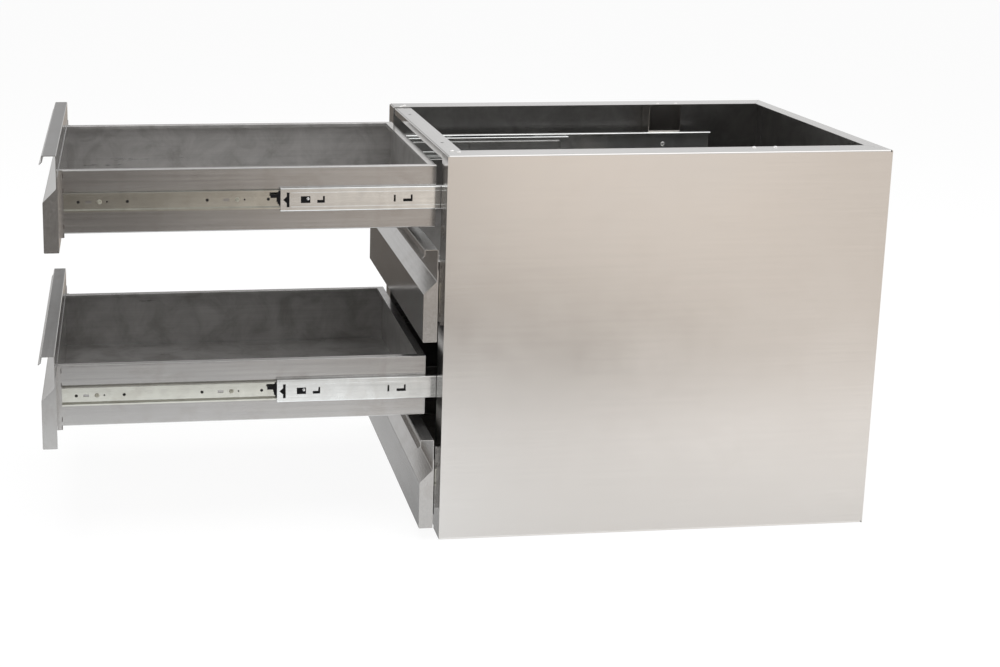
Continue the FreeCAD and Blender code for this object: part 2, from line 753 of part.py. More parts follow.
def make_box(drawer):
    """A tray of one folded sheet, with a turned-in rim round three sides."""
    body = new_body(f"drawer_{drawer}_box")
    low = read("box_lift")
    rim = low + read("box_height")
    width = read("rim_width")
    under = rim - read("rim_return")
    half_section = [
        (box_side, low), (box_side, rim), (box_side - width, rim), (box_side - width, under),
        (box_side - width + fold, under), (box_side - width + fold, rim - fold),
        (box_side - fold, rim - fold), (box_side - fold, low + fold)]
    section = half_section + [(-x, z) for x, z in reversed(half_section)]
    add_pad(body, f"{body.Label}_tray", "XZ_Plane", fold, read("box_length"), section)
    bend = read("drawer_bend")
    outer = [(box_side * side, z) for side in (1, -1) for z in (low, rim)]
    outer += [((box_side - width) * side, rim) for side in (1, -1)]
    round_folds(body, f"{body.Label}_outer_folds", 1, outer, bend)
    inner = [((box_side - fold) * side, z) for side in (1, -1) for z in (low + fold, rim - fold)]
    round_folds(body, f"{body.Label}_inner_folds", 1, inner, bend - fold)
    rear = fold + read("box_length")
    rear_section = [
        (rear, low), (rear, rim), (rear - width, rim), (rear - width, under),
        (rear - width + fold, under), (rear - width + fold, rim - fold), (rear - fold, rim - fold),
        (rear - fold, low)]
    add_pad(body, f"{body.Label}_rear_wall", "YZ_Plane", bend - box_side,
            2 * (box_side - bend), rear_section)
    seat_in_drawer(body, drawer)
    return body


# Assembly
pieces = [make_back_panel(), make_bottom_panel(), make_top_rail()]
for side_name, side_sign in SIDES:
    pieces.append(make_side_panel(side_name, side_sign))
    pieces.append(make_rear_post(side_name, side_sign))
for number in DRAWERS:
    pieces += [make_front(number), make_liner(number), make_box(number)]
    for side_name, side_sign in SIDES:
        pieces.append(make_outer_member(number, side_name, side_sign))
        pieces.append(make_middle_member(number, side_name, side_sign))
        pieces.append(make_inner_member(number, side_name, side_sign))
    pieces += [make_bumpers(number), make_ball_cages(number)]
doc.recompute()

# Every object has to be built, and every piece sound, before anything is written
for item in doc.Objects:
    if "Invalid" in item.State or "Error" in item.State:
        raise RuntimeError(f"{item.Label} is not built: {item.State}")
for piece in pieces:
    if piece.Shape.isNull() or not piece.Shape.isValid() or piece.Shape.Volume <= 0:
        raise RuntimeError(f"{piece.Label} has no sound shape")

os.makedirs("parts", exist_ok=True)
for piece in pieces:
    piece.Shape.exportStep(f"parts/{piece.Label}.step")
print(f"{len(pieces)} pieces written")
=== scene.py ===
import math

import bmesh
import bpy
from mathutils import Matrix, Vector


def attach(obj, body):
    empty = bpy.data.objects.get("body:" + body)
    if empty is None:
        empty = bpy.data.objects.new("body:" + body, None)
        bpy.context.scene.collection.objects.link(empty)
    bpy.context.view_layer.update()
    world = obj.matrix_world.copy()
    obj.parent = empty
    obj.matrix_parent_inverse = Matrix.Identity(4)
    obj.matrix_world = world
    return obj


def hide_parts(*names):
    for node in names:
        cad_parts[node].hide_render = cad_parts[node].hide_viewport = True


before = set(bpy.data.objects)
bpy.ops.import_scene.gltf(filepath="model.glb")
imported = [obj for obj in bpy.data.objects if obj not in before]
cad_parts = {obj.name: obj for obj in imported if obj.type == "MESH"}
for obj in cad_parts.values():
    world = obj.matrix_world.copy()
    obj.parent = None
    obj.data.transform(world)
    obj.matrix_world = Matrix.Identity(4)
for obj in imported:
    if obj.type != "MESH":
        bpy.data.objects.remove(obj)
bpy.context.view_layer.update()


# Carcass sheets
# Two side panels, a back, a bottom, a front rail and two slide posts, folded from stainless
# sheet. One side of the sheet is brushed and faces out, the other keeps its duller mill finish;
# the faces inside the carcass are darkened much further with painted shade.
CARCASS_STEEL = (0.80, 0.785, 0.77)
# The posts stand inside the carcass and take a darker, browner copy of its steel: painted shade.
POST_SHADED_STEEL = (0.60, 0.57, 0.54)
CARCASS_ROUGHNESS = 0.17
CARCASS_MIDDLE = (0.0, 0.0, 0.3)
# Faces inside the carcass are darkened by this factor: partly the duller mill finish, mostly painted
# shade.
MILL_TONE_AND_PAINTED_SHADE = 0.40
MILL_ROUGHNESS = 0.30
MILL_POLISH = 0.97
MILL_BLOTCH = 0.14
# Tilt from which faces that look up start to take the painted highlight.
TOP_HIGHLIGHT_TILT = 0.6
CARCASS_WEAR = 0.10
BRUSH_LINES = 1400.0
BRUSH_LENGTH = 8.0
LINE_SHADE = 0.02
LINE_DETAIL = 4.0
LINE_RELIEF = 0.03
LINE_DEPTH = 0.0001
STREAKS = 210.0
STREAK_LENGTH = 3.5
STREAK_SHADE = 0.12
STREAK_DETAIL = 5.0
STREAK_DULLING = 0.03
BRUSH_BREAKS = 0.7
CLOUD_SCALE = 4.5
CLOUD_SHADE = 0.045
CLOUD_DETAIL = 6.0
CLOUD_BREAKS = 0.6
CLOUD_SHEEN = (0.85, 1.2)
MARK_SCALE = 21.0
MARK_SHADE = (0.80, 0.765, 0.735)
MARK_DETAIL = 5.0
MARK_BREAKS = 0.65
MARK_TWIST = 0.6
MARK_SPAN = (0.5, 0.78)
NOISE_SPAN = (0.3, 0.7)
BLOTCH_SPAN = (0.35, 0.65)


def add_node(tree, kind, inputs=None, **settings):
    """Adds a node with its settings, and sets or links its inputs."""
    node = tree.nodes.new(kind)
    for name, value in settings.items():
        setattr(node, name, value)
    for key, value in (inputs or {}).items():
        if isinstance(value, bpy.types.NodeSocket):
            tree.links.new(value, node.inputs[key])
        else:
            node.inputs[key].default_value = value
    return node


def mix_colour(tree, factor, first, second, blend="MIX"):
    """Mixes two colours and returns the result's socket."""
    first, second = [
        side if isinstance(side, bpy.types.NodeSocket) else (*side, 1.0) for side in (first, second)]
    mix = add_node(tree, "ShaderNodeMix", data_type="RGBA", blend_type=blend)
    for key, value in ((0, factor), (6, first), (7, second)):
        if isinstance(value, bpy.types.NodeSocket):
            tree.links.new(value, mix.inputs[key])
        else:
            mix.inputs[key].default_value = value
    return mix.outputs[2]


def map_range(tree, value, span, low, high):
    """Maps a span of a value to the range from low to high, and returns the result's socket."""
    mapped = add_node(tree, "ShaderNodeMapRange", {
        "Value": value, "From Min": span[0], "From Max": span[1], "To Min": low, "To Max": high})
    return mapped.outputs["Result"]


def stretched_noise(tree, place, across, along, grain, detail):
    """Noise drawn out along one axis, as brushing leaves it, and returns its socket."""
    scale = [across] * 3
    scale[grain] = along
    stretch = add_node(
        tree, "ShaderNodeMapping", {"Vector": place.outputs["Object"], "Scale": scale})
    noise = add_node(tree, "ShaderNodeTexNoise", {
        "Vector": stretch.outputs["Vector"], "Scale": 1.0, "Detail": detail,
        "Roughness": BRUSH_BREAKS})
    return noise.outputs["Fac"]


def brushed_steel(
        name, colour, roughness, grain, wear=CARCASS_WEAR, polish=1.0, middle=None,
        inside=(MILL_TONE_AND_PAINTED_SHADE, MILL_ROUGHNESS, MILL_POLISH), top_highlight=None):
    """Brushed stainless: fine lines and streaks along one axis, soft clouds and handling marks.

    A polish under 1 lets some of the light scatter, as a coarser brushing does. Where the
    middle of a folded box is given, the faces that look towards it are mill finish, darkened
    further with painted shade, and take the roughness and polish of the inside. A painted
    highlight brightens the faces that look up.
    """
    material = bpy.data.materials.new(name)
    material.use_nodes = True
    tree = material.node_tree
    shader = tree.nodes["Principled BSDF"]
    shader.inputs["Metallic"].default_value = polish
    place = add_node(tree, "ShaderNodeTexCoord")
    lines = stretched_noise(tree, place, BRUSH_LINES, BRUSH_LENGTH, grain, LINE_DETAIL)
    streaks = stretched_noise(tree, place, STREAKS, STREAK_LENGTH, grain, STREAK_DETAIL)
    clouds = add_node(tree, "ShaderNodeTexNoise", {
        "Vector": place.outputs["Object"], "Scale": CLOUD_SCALE, "Detail": CLOUD_DETAIL,
        "Roughness": CLOUD_BREAKS}).outputs["Fac"]
    marks = add_node(tree, "ShaderNodeTexNoise", {
        "Vector": place.outputs["Object"], "Scale": MARK_SCALE, "Detail": MARK_DETAIL,
        "Roughness": MARK_BREAKS, "Distortion": MARK_TWIST}).outputs["Fac"]
    tone = mix_colour(
        tree, clouds, [c * (1 - CLOUD_SHADE) for c in colour],
        [min(c * (1 + CLOUD_SHADE), 1.0) for c in colour])
    for pattern, shade in ((lines, LINE_SHADE), (streaks, STREAK_SHADE * wear)):
        fine = map_range(tree, pattern, NOISE_SPAN, 1 - shade, 1 + shade)
        tone = mix_colour(tree, 1.0, tone, fine, "MULTIPLY")
    worn = map_range(tree, marks, MARK_SPAN, 0.0, wear)
    tone = mix_colour(tree, worn, tone, mix_colour(tree, 1.0, tone, MARK_SHADE, "MULTIPLY"))
    sheen = map_range(tree, clouds, NOISE_SPAN, *[roughness * part for part in CLOUD_SHEEN])
    dulled = map_range(
        tree, streaks, NOISE_SPAN, -STREAK_DULLING * wear, STREAK_DULLING * wear)
    sheen = add_node(tree, "ShaderNodeMath", {0: sheen, 1: dulled}).outputs["Value"]
    if middle is not None:
        away = add_node(tree, "ShaderNodeVectorMath", {
            0: place.outputs["Object"], 1: middle}, operation="SUBTRACT")
        facing = add_node(tree, "ShaderNodeVectorMath", {
            0: away.outputs["Vector"], 1: place.outputs["Normal"]}, operation="DOT_PRODUCT")
        inward = add_node(tree, "ShaderNodeMath", {
            0: facing.outputs["Value"], 1: 0.0}, operation="LESS_THAN").outputs["Value"]
        shade, dullness, gleam = inside
        # Inward faces get blotches and painted shade: the inside's first value darkens them well
        # beyond the mill finish's own tone.
        blotches_and_painted_shade = map_range(
            tree, marks, BLOTCH_SPAN, shade * (1 + MILL_BLOTCH), shade * (1 - MILL_BLOTCH))
        tone = mix_colour(tree, inward, tone, mix_colour(tree, 1.0, tone, blotches_and_painted_shade, "MULTIPLY"))
        extra = map_range(tree, inward, (0.0, 1.0), 0.0, dullness - roughness)
        tree.links.new(
            map_range(tree, inward, (0.0, 1.0), polish, gleam), shader.inputs["Metallic"])
        sheen = add_node(tree, "ShaderNodeMath", {0: sheen, 1: extra}).outputs["Value"]
    # Faces that look up are brightened: a painted highlight of the light from above.
    if top_highlight is not None:
        upward = add_node(
            tree, "ShaderNodeSeparateXYZ", {"Vector": place.outputs["Normal"]}).outputs["Z"]
        top_lit = map_range(tree, upward, (TOP_HIGHLIGHT_TILT, 1.0), 1.0, top_highlight)
        tone = mix_colour(tree, 1.0, tone, top_lit, "MULTIPLY")
    tree.links.new(tone, shader.inputs["Base Color"])
    tree.links.new(sheen, shader.inputs["Roughness"])
    relief = add_node(tree, "ShaderNodeBump", {
        "Height": lines, "Strength": LINE_RELIEF, "Distance": LINE_DEPTH})
    tree.links.new(relief.outputs["Normal"], shader.inputs["Normal"])
    return material


def dress(node, material):
    """Gives a node of the frame its finish, on every slot that it has."""
    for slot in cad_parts[node].material_slots:
        slot.material = material


carcass_along = brushed_steel(
    "carcass_along", CARCASS_STEEL, CARCASS_ROUGHNESS, 1, middle=CARCASS_MIDDLE)
carcass_across = brushed_steel(
    "carcass_across", CARCASS_STEEL, CARCASS_ROUGHNESS, 0, middle=CARCASS_MIDDLE)
shaded_post_upright = brushed_steel("shaded_post_upright", POST_SHADED_STEEL, CARCASS_ROUGHNESS, 2)
for side in ("right", "left"):
    dress(f"side_panel_{side}", carcass_along)
    dress(f"rear_post_{side}", shaded_post_upright)
for node in ("back_panel", "bottom_panel", "top_front_rail"):
    dress(node, carcass_across)


# Rivets of the carcass
# Blind rivets of stainless steel with a low dome and the broken pin in its middle. They tie
# the rail and the slide posts to the top flanges, and the seams at the rear and the base.
RIVET_STEEL = (0.82, 0.81, 0.80)
RIVET_ROUGHNESS = 0.22
RIVET_RADIUS = 0.0040
RIVET_HEIGHT = 0.0019
RIVET_PIN = 0.0012
RIVET_PIN_DEPTH = 0.0004
FLANGE_TOP = 0.606
RAIL_RIVETS = ((0.2285, -0.331), (0.2400, -0.323))
POST_RIVETS = ((0.2320, 0.139), (0.2320, 0.173))
SEAM_FACE = 0.3426
SEAM_ACROSS = 0.2575
SEAM_LEVELS = (0.07, 0.21, 0.35, 0.49)
BASE_FACE = 0.0024
BASE_ACROSS = 0.2560
BASE_ALONG = (-0.22, -0.05, 0.07, 0.26)
HEAD_SEGMENTS = 20
HEAD_RINGS = 10
RECESS_SIDES = 12
CROSS_BAR = 0.3


def head_tree(name, recess):
    """A node tree that sets a domed head, with a round or a crossed recess, on each point."""
    tree = bpy.data.node_groups.new(name, "GeometryNodeTree")
    tree.interface.new_socket("Points", in_out="INPUT", socket_type="NodeSocketGeometry")
    for size in ("Radius", "Height", "Recess", "Recess Depth"):
        tree.interface.new_socket(size, in_out="INPUT", socket_type="NodeSocketFloat")
    tree.interface.new_socket("Finish", in_out="INPUT", socket_type="NodeSocketMaterial")
    tree.interface.new_socket("Heads", in_out="OUTPUT", socket_type="NodeSocketGeometry")
    given = add_node(tree, "NodeGroupInput").outputs
    ball = add_node(tree, "GeometryNodeMeshUVSphere", {
        "Segments": HEAD_SEGMENTS, "Rings": HEAD_RINGS, "Radius": 1.0})
    place = add_node(tree, "GeometryNodeInputPosition")
    parts = add_node(tree, "ShaderNodeSeparateXYZ", {"Vector": place.outputs["Position"]})
    level = add_node(
        tree, "ShaderNodeMath", {0: parts.outputs["Z"], 1: 0.0}, operation="MAXIMUM")
    flat = add_node(tree, "ShaderNodeCombineXYZ", {
        "X": parts.outputs["X"], "Y": parts.outputs["Y"], "Z": level.outputs["Value"]})
    dome = add_node(tree, "GeometryNodeSetPosition", {
        "Geometry": ball.outputs["Mesh"], "Position": flat.outputs["Vector"]})
    size = add_node(tree, "ShaderNodeCombineXYZ", {
        "X": given["Radius"], "Y": given["Radius"], "Z": given["Height"]})
    head = add_node(tree, "GeometryNodeTransform", {
        "Geometry": dome.outputs["Geometry"], "Scale": size.outputs["Vector"]})
    depth = add_node(
        tree, "ShaderNodeMath", {0: given["Recess Depth"], 1: 2.0}, operation="MULTIPLY")
    top = add_node(tree, "ShaderNodeCombineXYZ", {"Z": given["Height"]})
    if recess == "round":
        tool = [add_node(tree, "GeometryNodeMeshCylinder", {
            "Vertices": RECESS_SIDES, "Radius": given["Recess"],
            "Depth": depth.outputs["Value"]})]
    else:
        slim = add_node(
            tree, "ShaderNodeMath", {0: given["Recess"], 1: CROSS_BAR}, operation="MULTIPLY")
        tool = []
        for long_way, short_way in (("X", "Y"), ("Y", "X")):
            bar = add_node(tree, "ShaderNodeCombineXYZ", {
                long_way: given["Recess"], short_way: slim.outputs["Value"],
                "Z": depth.outputs["Value"]})
            tool.append(add_node(tree, "GeometryNodeMeshCube", {"Size": bar.outputs["Vector"]}))
    cut = head
    for shape in tool:
        raised = add_node(tree, "GeometryNodeTransform", {
            "Geometry": shape.outputs["Mesh"], "Translation": top.outputs["Vector"]})
        source = cut.outputs["Geometry"] if cut is head else cut.outputs["Mesh"]
        cut = add_node(tree, "GeometryNodeMeshBoolean", {
            "Mesh 1": source, "Mesh 2": raised.outputs["Geometry"]}, operation="DIFFERENCE")
    smooth = add_node(tree, "GeometryNodeSetShadeSmooth", {"Geometry": cut.outputs["Mesh"]})
    aim = add_node(
        tree, "GeometryNodeInputNamedAttribute", {"Name": "aim"}, data_type="FLOAT_VECTOR")
    turn = add_node(
        tree, "FunctionNodeAlignRotationToVector", {"Vector": aim.outputs["Attribute"]}, axis="Z")
    heads = add_node(tree, "GeometryNodeInstanceOnPoints", {
        "Points": given["Points"], "Instance": smooth.outputs["Geometry"],
        "Rotation": turn.outputs["Rotation"]})
    real = add_node(
        tree, "GeometryNodeRealizeInstances", {"Geometry": heads.outputs["Instances"]})
    finish = add_node(tree, "GeometryNodeSetMaterial", {
        "Geometry": real.outputs["Geometry"], "Material": given["Finish"]})
    add_node(tree, "NodeGroupOutput", {"Heads": finish.outputs["Geometry"]})
    return tree


def grow(name, tree, spots, sizes, body):
    """Runs a tree on points with directions, and keeps the result as one plain mesh."""
    mesh = bpy.data.meshes.new(name)
    mesh.from_pydata([spot for spot, aim in spots], [], [])
    aims = mesh.attributes.new("aim", "FLOAT_VECTOR", "POINT")
    aims.data.foreach_set("vector", [c for spot, aim in spots for c in aim])
    piece = bpy.data.objects.new(name, mesh)
    bpy.context.scene.collection.objects.link(piece)
    modifier = piece.modifiers.new("grow", "NODES")
    modifier.node_group = tree
    for socket in tree.interface.items_tree:
        if socket.in_out == "INPUT" and socket.name in sizes:
            modifier[socket.identifier] = sizes[socket.name]
    evaluated = piece.evaluated_get(bpy.context.evaluated_depsgraph_get())
    solid = bpy.data.meshes.new_from_object(evaluated)
    piece.modifiers.remove(modifier)
    piece.data = solid
    bpy.data.meshes.remove(mesh)
    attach(piece, body)
    return piece


rivet_steel = brushed_steel("rivet_steel", RIVET_STEEL, RIVET_ROUGHNESS, 0)
round_heads = head_tree("round_heads", "round")
rivets = []
for sign in (1, -1):
    rivets += [((x * sign, y, FLANGE_TOP), (0, 0, 1)) for x, y in RAIL_RIVETS + POST_RIVETS]
    rivets += [((SEAM_ACROSS * sign, SEAM_FACE, z), (0, -1, 0)) for z in SEAM_LEVELS]
    rivets += [((BASE_ACROSS * sign, y, BASE_FACE), (0, 0, 1)) for y in BASE_ALONG]
grow("carcass_rivets", round_heads, rivets, {
    "Radius": RIVET_RADIUS, "Height": RIVET_HEIGHT, "Recess": RIVET_PIN,
    "Recess Depth": RIVET_PIN_DEPTH, "Finish": rivet_steel}, "cabinet")


# Outer slide members
# Channels rolled from zinc plated steel, with a groove for the balls along each lip. Flat
# headed screws through the web hold each one to the front fold and to the rear post.
ZINC = (0.93, 0.94, 0.93)
ZINC_ROUGHNESS = 0.12
ZINC_MOTTLE = 55.0
ZINC_POLISH = 0.92
ZINC_WEAR = 0.5
ZINC_DETAIL = 3.0
ZINC_BREAKS = 0.6
ZINC_SHADES = (0.94, 1.02)
DRAWERS = (1, 2, 3, 4)
FRONT_BOTTOM = {1: 0.470, 2: 0.320, 3: 0.170, 4: 0.020}
OPENING = {1: 0.561, 2: 0.0, 3: 0.571, 4: 0.0}
SLIDE_CENTRE = 0.064
OUTER_WEB = 0.2240
OUTER_SCREWS = (-0.313, 0.150)
SCREW_STEEL = (0.70, 0.70, 0.68)
SCREW_ROUGHNESS = 0.25
SCREW_RADIUS = 0.0042
SCREW_HEIGHT = 0.0014
SCREW_RECESS = 0.0042
SCREW_RECESS_DEPTH = 0.0009


def plated_steel(name, colour, roughness):
    """Zinc plating: a pale, slightly cloudy skin over fine rolling lines."""
    material = brushed_steel(name, colour, roughness, 1, ZINC_WEAR, ZINC_POLISH)
    tree = material.node_tree
    shader = tree.nodes["Principled BSDF"]
    place = add_node(tree, "ShaderNodeTexCoord")
    spots = add_node(tree, "ShaderNodeTexNoise", {
        "Vector": place.outputs["Object"], "Scale": ZINC_MOTTLE, "Detail": ZINC_DETAIL,
        "Roughness": ZINC_BREAKS})
    shade = map_range(tree, spots.outputs["Fac"], BLOTCH_SPAN, *ZINC_SHADES)
    base = shader.inputs["Base Color"].links[0].from_socket
    tree.links.new(mix_colour(tree, 1.0, base, shade, "MULTIPLY"), shader.inputs["Base Color"])
    return material


zinc = plated_steel("zinc_plate", ZINC, ZINC_ROUGHNESS)
screw_steel = brushed_steel("screw_steel", SCREW_STEEL, SCREW_ROUGHNESS, 1)
crossed_heads = head_tree("crossed_heads", "cross")
screws = []
for number in DRAWERS:
    level = FRONT_BOTTOM[number] + SLIDE_CENTRE
    for side, sign in (("right", 1), ("left", -1)):
        dress(f"drawer_{number}_outer_slide_{side}", zinc)
        screws += [((OUTER_WEB * sign, y, level), (-sign, 0, 0)) for y in OUTER_SCREWS]
grow("slide_screws", crossed_heads, screws, {
    "Radius": SCREW_RADIUS, "Height": SCREW_HEIGHT, "Recess": SCREW_RECESS,
    "Recess Depth": SCREW_RECESS_DEPTH, "Finish": screw_steel}, "cabinet")


# Middle slide members
# Zinc plated channels that run halfway with each drawer. They carry a black moulded stop at
# the front, and strips of plastic that keep four rows of steel balls apart on each side.
PLASTIC = (0.009, 0.009, 0.010)
PLASTIC_ROUGHNESS = 0.42
PLASTIC_SPECULAR = 0.15
PLASTIC_GRAIN = 1500.0
PLASTIC_SHADES = (0.7, 1.5)
PLASTIC_SHEEN = (0.8, 1.2)
PLASTIC_RELIEF = 0.2
PLASTIC_DEPTH = 0.0001
BALL_STEEL = (0.78, 0.78, 0.78)
BALL_ROUGHNESS = 0.10
BALLS = 24
BALL_PITCH = 0.0062
BALL_RADIUS = 0.0016
BALL_SUBDIVISIONS = 2
STRIP_SIZE = (0.0022, 0.150, 0.0013)
COLLAR_RADIUS = 0.0021
COLLAR_HEIGHT = 0.0009
COLLAR_SIDES = 12
RUNNER_SHARE = 0.47
RUNNER_FRONT = -0.325
RUNNER_LENGTH = 0.560
CAGE_INSET = 0.060
POST_FACE = 0.2252
OUTER_ROW = (0.0063, 0.01965)
INNER_ROW = (0.0085, 0.014775)
WEB_FACES = (0.0032, 0.0044)
RIB_RISES = (0.0108, 0.0089)
RIB_WIDTHS = (0.0006, 0.0020)
RIB_HEIGHTS = (0.0002, 0.0006)
RIB_ENDS = (0.016, 0.545)
RIB_SIDES = 16
LATCHES = ((0.028, 0.069), (0.183, 0.203))
LATCH_DEPTHS = (0.0045, 0.0053)
LATCH_HALF = 0.0065
LATCH_CORNER = 0.0015
LATCH_PIN = (0.0416, 0.0011)
LATCH_PIN_RADIUS = 0.0024
LATCH_PIN_HEIGHT = 0.0008
LATCH_PIN_RECESS = 0.0004
LATCH_PIN_RECESS_DEPTH = 0.0002


def moulded_plastic(name, colour, roughness):
    """Black plastic with the fine grain of its mould."""
    material = bpy.data.materials.new(name)
    material.use_nodes = True
    tree = material.node_tree
    shader = tree.nodes["Principled BSDF"]
    shader.inputs["Specular IOR Level"].default_value = PLASTIC_SPECULAR
    place = add_node(tree, "ShaderNodeTexCoord")
    grain = add_node(
        tree, "ShaderNodeTexNoise", {"Vector": place.outputs["Object"], "Scale": PLASTIC_GRAIN})
    dark, light = [[c * shade for c in colour] for shade in PLASTIC_SHADES]
    tone = mix_colour(tree, grain.outputs["Fac"], dark, light)
    tree.links.new(tone, shader.inputs["Base Color"])
    sheen = map_range(
        tree, grain.outputs["Fac"], (0.0, 1.0), *[roughness * part for part in PLASTIC_SHEEN])
    tree.links.new(sheen, shader.inputs["Roughness"])
    relief = add_node(tree, "ShaderNodeBump", {
        "Height": grain.outputs["Fac"], "Strength": PLASTIC_RELIEF,
        "Distance": PLASTIC_DEPTH})
    tree.links.new(relief.outputs["Normal"], shader.inputs["Normal"])
    return material


def row_tree(name, kind):
    """A node tree that lays a ball cage's strip, or its row of balls, at each point."""
    tree = bpy.data.node_groups.new(name, "GeometryNodeTree")
    tree.interface.new_socket("Points", in_out="INPUT", socket_type="NodeSocketGeometry")
    tree.interface.new_socket("Count", in_out="INPUT", socket_type="NodeSocketInt")
    for size in ("Pitch", "Radius", "Height"):
        tree.interface.new_socket(size, in_out="INPUT", socket_type="NodeSocketFloat")
    tree.interface.new_socket("Strip", in_out="INPUT", socket_type="NodeSocketVector")
    tree.interface.new_socket("Finish", in_out="INPUT", socket_type="NodeSocketMaterial")
    tree.interface.new_socket("Rows", in_out="OUTPUT", socket_type="NodeSocketGeometry")
    given = add_node(tree, "NodeGroupInput").outputs
    last = add_node(tree, "ShaderNodeMath", {0: given["Count"], 1: 1.0}, operation="SUBTRACT")
    span = add_node(tree, "ShaderNodeMath", {
        0: last.outputs["Value"], 1: given["Pitch"]}, operation="MULTIPLY")
    half = add_node(
        tree, "ShaderNodeMath", {0: span.outputs["Value"], 1: -0.5}, operation="MULTIPLY")
    start = add_node(tree, "ShaderNodeCombineXYZ", {"Y": half.outputs["Value"]})
    step = add_node(tree, "ShaderNodeCombineXYZ", {"Y": given["Pitch"]})
    line = add_node(tree, "GeometryNodeMeshLine", {
        "Count": given["Count"], "Start Location": start.outputs["Vector"],
        "Offset": step.outputs["Vector"]})
    if kind == "balls":
        shape = add_node(tree, "GeometryNodeMeshIcoSphere", {
            "Radius": given["Radius"], "Subdivisions": BALL_SUBDIVISIONS})
    else:
        shape = add_node(tree, "GeometryNodeMeshCylinder", {
            "Vertices": COLLAR_SIDES, "Radius": given["Radius"], "Depth": given["Height"]})
    row = add_node(tree, "GeometryNodeInstanceOnPoints", {
        "Points": line.outputs["Mesh"], "Instance": shape.outputs["Mesh"]})
    unit = add_node(tree, "GeometryNodeRealizeInstances", {"Geometry": row.outputs["Instances"]})
    if kind == "strips":
        strip = add_node(tree, "GeometryNodeMeshCube", {"Size": given["Strip"]})
        whole = add_node(tree, "GeometryNodeJoinGeometry")
        for part in (unit.outputs["Geometry"], strip.outputs["Mesh"]):
            tree.links.new(part, whole.inputs["Geometry"])
    else:
        whole = add_node(
            tree, "GeometryNodeSetShadeSmooth", {"Geometry": unit.outputs["Geometry"]})
    rows = add_node(tree, "GeometryNodeInstanceOnPoints", {
        "Points": given["Points"], "Instance": whole.outputs["Geometry"]})
    real = add_node(tree, "GeometryNodeRealizeInstances", {"Geometry": rows.outputs["Instances"]})
    finish = add_node(tree, "GeometryNodeSetMaterial", {
        "Geometry": real.outputs["Geometry"], "Material": given["Finish"]})
    add_node(tree, "NodeGroupOutput", {"Rows": finish.outputs["Geometry"]})
    return tree


def rib_tree(name):
    """A node tree that lays a straight half-round rib, in line with the slide, at each point."""
    tree = bpy.data.node_groups.new(name, "GeometryNodeTree")
    tree.interface.new_socket("Points", in_out="INPUT", socket_type="NodeSocketGeometry")
    for size in ("Length", "Width", "Height"):
        tree.interface.new_socket(size, in_out="INPUT", socket_type="NodeSocketFloat")
    tree.interface.new_socket("Finish", in_out="INPUT", socket_type="NodeSocketMaterial")
    tree.interface.new_socket("Ribs", in_out="OUTPUT", socket_type="NodeSocketGeometry")
    given = add_node(tree, "NodeGroupInput").outputs
    bar = add_node(
        tree, "GeometryNodeMeshCylinder", {"Vertices": RIB_SIDES, "Radius": 0.5, "Depth": 1.0})
    double = add_node(
        tree, "ShaderNodeMath", {0: given["Height"], 1: 2.0}, operation="MULTIPLY")
    size = add_node(tree, "ShaderNodeCombineXYZ", {
        "X": double.outputs["Value"], "Y": given["Width"], "Z": given["Length"]})
    sized = add_node(tree, "GeometryNodeTransform", {
        "Geometry": bar.outputs["Mesh"], "Scale": size.outputs["Vector"]})
    laid = add_node(tree, "GeometryNodeTransform", {
        "Geometry": sized.outputs["Geometry"], "Rotation": (math.pi / 2, 0.0, 0.0)})
    ribs = add_node(tree, "GeometryNodeInstanceOnPoints", {
        "Points": given["Points"], "Instance": laid.outputs["Geometry"]})
    real = add_node(tree, "GeometryNodeRealizeInstances", {"Geometry": ribs.outputs["Instances"]})
    finish = add_node(tree, "GeometryNodeSetMaterial", {
        "Geometry": real.outputs["Geometry"], "Material": given["Finish"]})
    add_node(tree, "NodeGroupOutput", {"Ribs": finish.outputs["Geometry"]})
    return tree


def shade_latch_plates(name, places, finish, body):
    """Flat latch-shaped black plates with cut corners behind the slots, painted shade in the slots;
    each given by its front end and side.
    """
    corners, faces = [], []
    for front, level, sign in places:
        for first, last in LATCHES:
            rows = ((first, LATCH_HALF - LATCH_CORNER), (first + LATCH_CORNER, LATCH_HALF),
                    (last - LATCH_CORNER, LATCH_HALF), (last, LATCH_HALF - LATCH_CORNER))
            rim = [(y, z) for y, z in rows] + [(y, -z) for y, z in reversed(rows)]
            base, count = len(corners), len(rim)
            for depth in LATCH_DEPTHS:
                corners += [((POST_FACE - depth) * sign, front + y, level + z) for y, z in rim]
            near = list(range(base, base + count))
            far = [corner + count for corner in near]
            faces += [near, far[::-1]]
            faces += [(near[i], far[i], far[(i + 1) % count], near[(i + 1) % count])
                      for i in range(count)]
    mesh = bpy.data.meshes.new(name)
    mesh.from_pydata(corners, [], faces)
    shape = bmesh.new()
    shape.from_mesh(mesh)
    bmesh.ops.recalc_face_normals(shape, faces=shape.faces)
    shape.to_mesh(mesh)
    shape.free()
    mesh.materials.append(finish)
    piece = bpy.data.objects.new(name, mesh)
    bpy.context.scene.collection.objects.link(piece)
    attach(piece, body)


